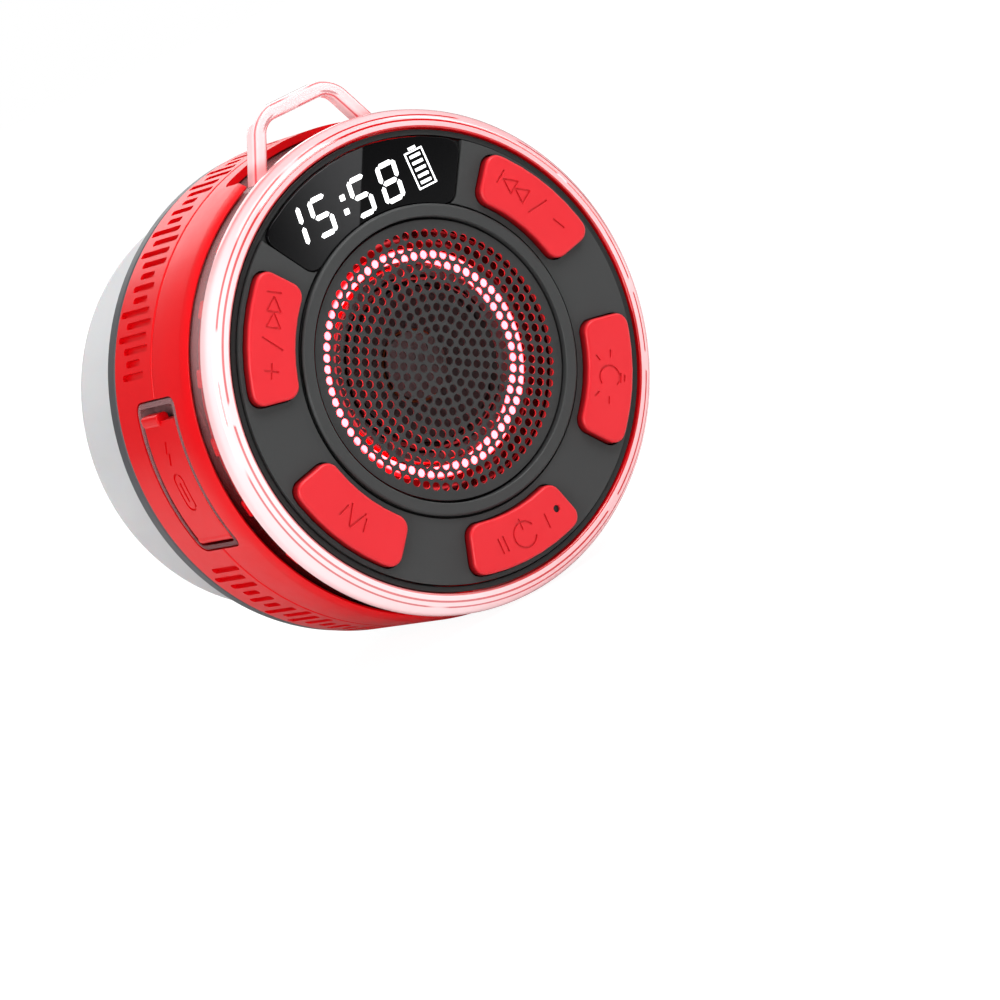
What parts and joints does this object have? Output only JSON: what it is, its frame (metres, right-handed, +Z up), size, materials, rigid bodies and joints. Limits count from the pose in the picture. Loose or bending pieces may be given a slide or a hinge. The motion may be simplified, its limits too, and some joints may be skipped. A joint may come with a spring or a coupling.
{
  "type": "shower speaker",
  "caption": "Round wall-hung speaker with a clear rim and hanging loop, keys round a perforated grille, a lit ring, a clock window, a side charging door and a suction cup.",
  "frame": {"origin": "centre of the suction cup on the wall plane", "axes": "+Z up towards the hanging loop, +Y out of the back into the wall, the face looks along -Y, +X to the right seen from the front"},
  "size_m": [0.0902, 0.067, 0.0977],
  "materials": {
    "clear_plastic": "polished clear polycarbonate, faintly pink from the red case behind it",
    "red_plastic": "satin-gloss moulded red plastic",
    "red_key": "satin red keycap with shallow engraved symbols",
    "smoked_plastic": "smoked clear plastic",
    "panel_plastic": "fine-textured charcoal plastic",
    "black_rubber": "matt black rubber",
    "grey_rubber": "matt dark grey rubber-coated plate",
    "pale_silicone": "milky translucent silicone",
    "lens": "glossy black display window",
    "display_white": "white lit segments",
    "grille_steel": "charcoal painted perforated steel",
    "red_gloss": "glossy red reflector",
    "light_diffuser": "lit white diffuser with a red edge",
    "circuit_board": "green solder mask",
    "switch_black": "black moulded plastic",
    "bright_steel": "bright plated steel",
    "driver_steel": "zinc-plated steel",
    "ferrite": "sintered ferrite",
    "cone_paper": "coated black paper",
    "spider_cloth": "resin-stiffened cloth",
    "copper_winding": "enamelled copper wire",
    "brass_insert": "machined brass",
    "battery_film": "blue plastic film round a pouch cell"
  },
  "bodies": {
    "wall_cup": {"suction_cup": "pale_silicone", "swivel_stud": "bright_steel"},
    "housing": {"clear_shell": "clear_plastic", "front_band": "red_plastic", "rear_shell": "red_plastic", "chassis": "red_plastic", "port_liner": "smoked_plastic", "front_panel": "panel_plastic", "grille_trim_ring": "panel_plastic", "panel_seal": "black_rubber", "grille_gasket": "black_rubber", "driver_surround": "black_rubber", "back_plate": "grey_rubber", "display_lens": "lens", "display_module": "display_white", "speaker_grille": "grille_steel", "ring_reflector": "red_gloss", "light_ring": "light_diffuser", "light_and_key_board": "circuit_board", "main_board": "circuit_board", "tact_switch_1": "switch_black", "tact_switch_2": "switch_black", "tact_switch_3": "switch_black", "tact_switch_4": "switch_black", "tact_switch_5": "switch_black", "port_hinge_pin": "bright_steel", "usb_socket": "bright_steel", "microphone": "bright_steel", "chassis_screw_1": "bright_steel", "chassis_screw_2": "bright_steel", "chassis_screw_3": "bright_steel", "chassis_screw_4": "bright_steel", "chassis_screw_5": "bright_steel", "chassis_screw_6": "bright_steel", "driver_frame": "driver_steel", "driver_top_plate": "driver_steel", "driver_yoke": "driver_steel", "driver_magnet": "ferrite", "driver_spider": "spider_cloth", "swivel_socket": "brass_insert", "battery": "battery_film"},
    "key_previous_cap": {"key_previous": "red_key"},
    "key_light_cap": {"key_light": "red_key"},
    "key_power_cap": {"key_power": "red_key"},
    "key_mode_cap": {"key_mode": "red_key"},
    "key_next_cap": {"key_next": "red_key"},
    "port_door_flap": {"port_door": "red_plastic"},
    "moving_coil": {"driver_cone": "cone_paper", "dust_cap": "cone_paper", "voice_coil": "copper_winding"}
  },
  "joints": [
    {"name": "cup_swivel", "type": "hinge", "parent": "wall_cup", "child": "housing", "pos_m": [0, 0, 0], "axis": [0, 1, 0], "continuous": true},
    {"name": "key_previous_press", "type": "slide", "parent": "housing", "child": "key_previous_cap", "axis": [0, 1, 0], "range_m": [0, 0.0008], "stiffness_N_per_m": 1800},
    {"name": "key_light_press", "type": "slide", "parent": "housing", "child": "key_light_cap", "axis": [0, 1, 0], "range_m": [0, 0.0008], "stiffness_N_per_m": 1800},
    {"name": "key_power_press", "type": "slide", "parent": "housing", "child": "key_power_cap", "axis": [0, 1, 0], "range_m": [0, 0.0008], "stiffness_N_per_m": 1800},
    {"name": "key_mode_press", "type": "slide", "parent": "housing", "child": "key_mode_cap", "axis": [0, 1, 0], "range_m": [0, 0.0008], "stiffness_N_per_m": 1800},
    {"name": "key_next_press", "type": "slide", "parent": "housing", "child": "key_next_cap", "axis": [0, 1, 0], "range_m": [0, 0.0008], "stiffness_N_per_m": 1800},
    {"name": "port_door_hinge", "type": "hinge", "parent": "housing", "child": "port_door_flap", "pos_m": [-0.04245, -0.04253, -0.01195], "axis": [0, -1, 0], "range_deg": [0, 100]},
    {"name": "cone_stroke", "type": "slide", "parent": "housing", "child": "moving_coil", "axis": [0, 1, 0], "range_m": [-0.001, 0.001], "stiffness_N_per_m": 1200}
  ]
}
